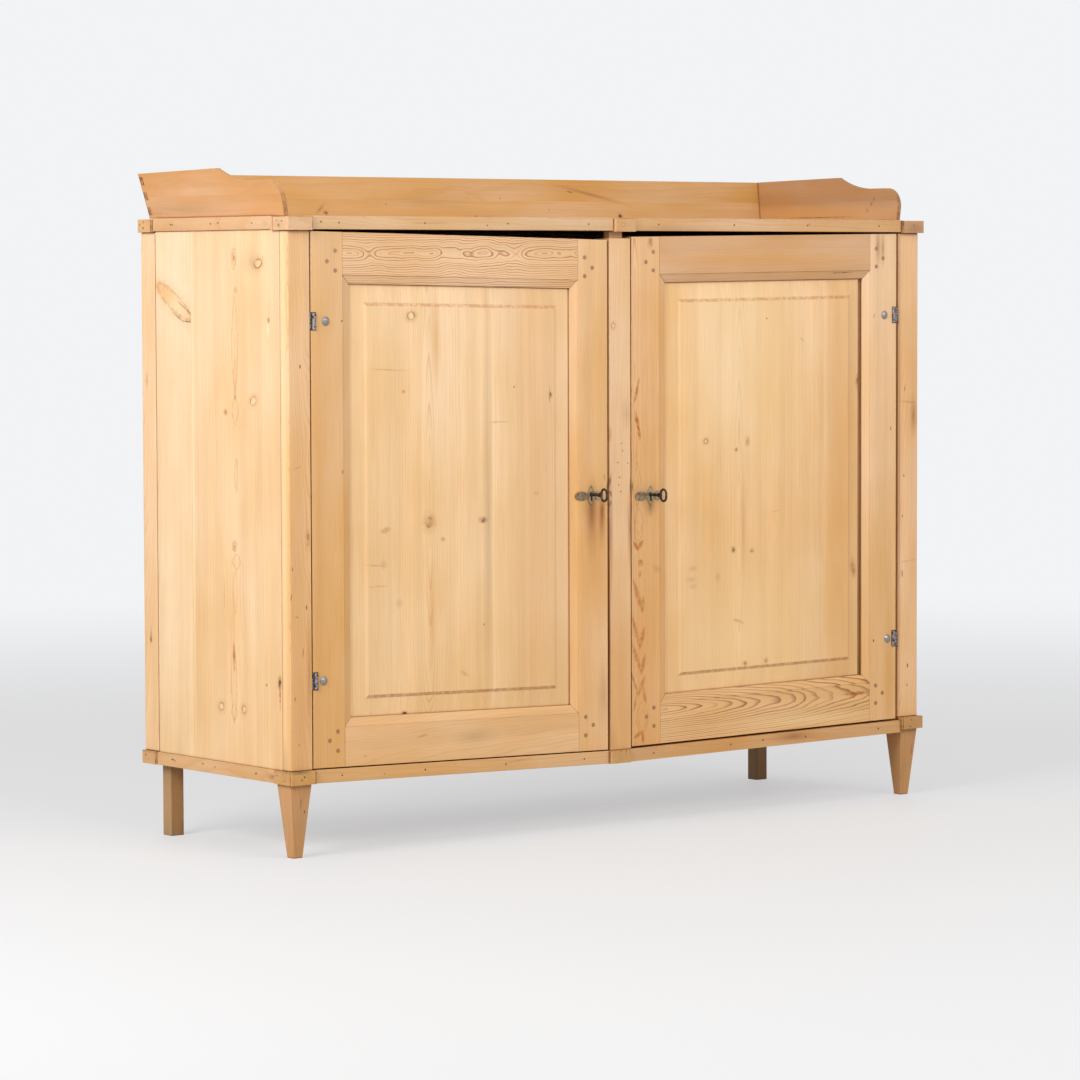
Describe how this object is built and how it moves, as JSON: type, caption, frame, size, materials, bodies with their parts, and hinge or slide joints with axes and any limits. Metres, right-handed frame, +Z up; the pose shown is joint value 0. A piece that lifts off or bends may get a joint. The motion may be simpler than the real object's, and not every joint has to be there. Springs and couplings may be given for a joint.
{
  "type": "sideboard",
  "caption": "Low waxed-pine sideboard with raised-panel doors on knuckle hinges, locks with keys, a shelf inside, a shaped gallery on the top and tapered front legs.",
  "frame": {"origin": "on the floor, at the middle of the whole box in plan, keys included", "axes": "+X to the right seen from the front, +Y to the back, +Z up"},
  "size_m": [1.54, 0.5254, 1.2355],
  "materials": {
    "pine": "old waxed pine, satin",
    "pine_panel": "old waxed pine panel, satin",
    "pine_gallery": "darker waxed pine, satin",
    "pine_edge_strip": "paler waxed pine strip, satin",
    "pine_block": "waxed pine block, satin",
    "pine_peg": "darker end grain of a split peg",
    "pine_inside": "bare sawn pine, dull",
    "hinge_iron": "worn wrought iron",
    "rivet_iron": "domed rivet, rubbed grey",
    "key_iron": "dark forged iron",
    "nail_iron": "rusty nail",
    "old_brass": "aged brass sheet"
  },
  "bodies": {
    "carcass": {"top_front_strip_left": "pine_edge_strip", "top_front_strip_right": "pine_edge_strip", "bottom_front_strip_left": "pine_edge_strip", "bottom_front_strip_right": "pine_edge_strip", "top_side_strips": "pine_edge_strip", "bottom_side_strips": "pine_edge_strip", "front_leg_left": "pine", "front_leg_right": "pine", "rear_leg_left": "pine", "rear_leg_right": "pine", "end_plank_left_1": "pine", "end_plank_left_2": "pine", "end_plank_right_1": "pine", "end_plank_right_2": "pine", "shelf": "pine_inside", "shelf_bearers": "pine_inside", "gallery_end_left": "pine_gallery", "gallery_end_right": "pine_gallery", "gallery_back": "pine_gallery", "hinge_leaves_posts": "hinge_iron", "hinge_pins": "hinge_iron", "top_board": "pine", "bottom_board": "pine_inside", "muntin": "pine", "front_post_left": "pine", "front_post_right": "pine", "rear_post_left": "pine", "rear_post_right": "pine", "top_blocks": "pine_block", "bottom_blocks": "pine_block", "back_boards": "pine_inside", "nails": "nail_iron"},
    "door_left": {"top_rail_left": "pine", "bottom_rail_left": "pine", "pegs_left": "pine_peg", "panel_left": "pine_panel", "hinge_leaves_left": "hinge_iron", "hinge_rivets_left": "rivet_iron", "lock_case_left": "hinge_iron", "escutcheon_left": "old_brass", "hinge_stile_left": "pine", "lock_stile_left": "pine"},
    "door_right": {"top_rail_right": "pine", "bottom_rail_right": "pine", "pegs_right": "pine_peg", "panel_right": "pine_panel", "hinge_leaves_right": "hinge_iron", "hinge_rivets_right": "rivet_iron", "lock_case_right": "hinge_iron", "escutcheon_right": "old_brass", "hinge_stile_right": "pine", "lock_stile_right": "pine"},
    "bolt_left": {"lock_bolt_left": "hinge_iron"},
    "bolt_right": {"lock_bolt_right": "hinge_iron"},
    "key_left": {"key_left": "key_iron"},
    "key_right": {"key_right": "key_iron"}
  },
  "joints": [
    {"name": "door_left_swing", "type": "hinge", "parent": "carcass", "child": "door_left", "pos_m": [-0.707, -0.21375, 0.63], "axis": [0, 0, -1], "range_deg": [0, 140]},
    {"name": "key_left_turn", "type": "hinge", "parent": "door_left", "child": "key_left", "pos_m": [-0.0745, -0.21375, 0.63], "axis": [0, 1, 0], "range_deg": [0, 360]},
    {"name": "bolt_left_throw", "type": "slide", "parent": "door_left", "child": "bolt_left", "axis": [1, 0, 0], "range_m": [0, 0.016]},
    {"name": "door_right_swing", "type": "hinge", "parent": "carcass", "child": "door_right", "pos_m": [0.6975, -0.21375, 0.625], "axis": [0, 0, 1], "range_deg": [0, 140]},
    {"name": "key_right_turn", "type": "hinge", "parent": "door_right", "child": "key_right", "pos_m": [0.07, -0.21375, 0.625], "axis": [0, -1, 0], "range_deg": [0, 360]},
    {"name": "bolt_right_throw", "type": "slide", "parent": "door_right", "child": "bolt_right", "axis": [-1, 0, 0], "range_m": [0, 0.016]}
  ],
  "couplings": [
    {"joint": "key_left_turn", "follows": "bolt_left_throw", "rad_per_m": 392.7},
    {"joint": "key_right_turn", "follows": "bolt_right_throw", "rad_per_m": 392.7}
  ]
}
